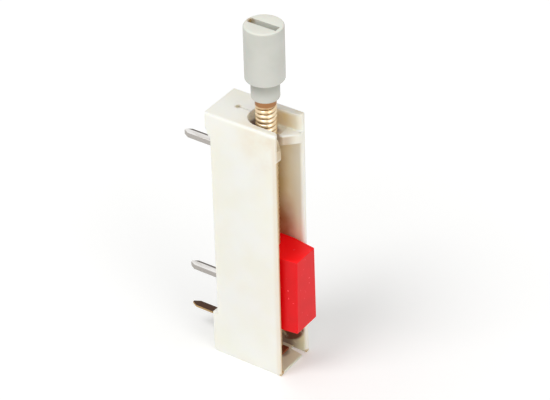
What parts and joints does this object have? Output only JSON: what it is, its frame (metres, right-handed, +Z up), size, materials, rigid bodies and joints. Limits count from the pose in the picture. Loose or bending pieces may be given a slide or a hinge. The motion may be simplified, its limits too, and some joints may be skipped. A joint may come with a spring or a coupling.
{
  "type": "trimmer potentiometer",
  "caption": "Upright multi-turn trimmer potentiometer: slotted post housing, lead screw with a slotted knob, red slider block and solder pins at the back.",
  "frame": {"origin": "on the spindle axis, in the plane of the base", "axes": "+Z up along the spindle towards the knob, -Y out of the open front, +Y along the solder pins"},
  "size_m": [0.008, 0.0219, 0.0609],
  "materials": {
    "cream_plastic": "moulded, semi-matt cream",
    "brass": "rolled thread, copper-toned brass",
    "grey_plastic": "moulded, semi-matt warm grey",
    "red_plastic": "moulded, satin red",
    "bronze": "spring bronze, tarnished brown",
    "phenolic_paper": "laminated phenolic paper",
    "carbon_ink": "printed carbon film",
    "tinned_metal": "bright tin plate"
  },
  "bodies": {
    "post": {"housing": "cream_plastic", "resistor_strip": "phenolic_paper", "carbon_track": "carbon_ink", "upper_terminal": "tinned_metal", "lower_terminal": "tinned_metal", "upper_eyelet": "tinned_metal", "lower_eyelet": "tinned_metal", "wiper_terminal": "bronze"},
    "screw": {"spindle": "brass", "knob": "grey_plastic"},
    "carriage": {"slider": "red_plastic", "contact_spring": "bronze"}
  },
  "joints": [
    {"name": "spindle_spin", "type": "hinge", "parent": "post", "child": "screw", "pos_m": [0, 0, 0.05], "axis": [0, 0, 1], "range_deg": [-7831, 2881]},
    {"name": "slider_travel", "type": "slide", "parent": "post", "child": "carriage", "axis": [0, 0, 1], "range_m": [-0.0064, 0.0174]}
  ],
  "couplings": [
    {"joint": "spindle_spin", "follows": "slider_travel", "rad_per_m": -7854}
  ]
}
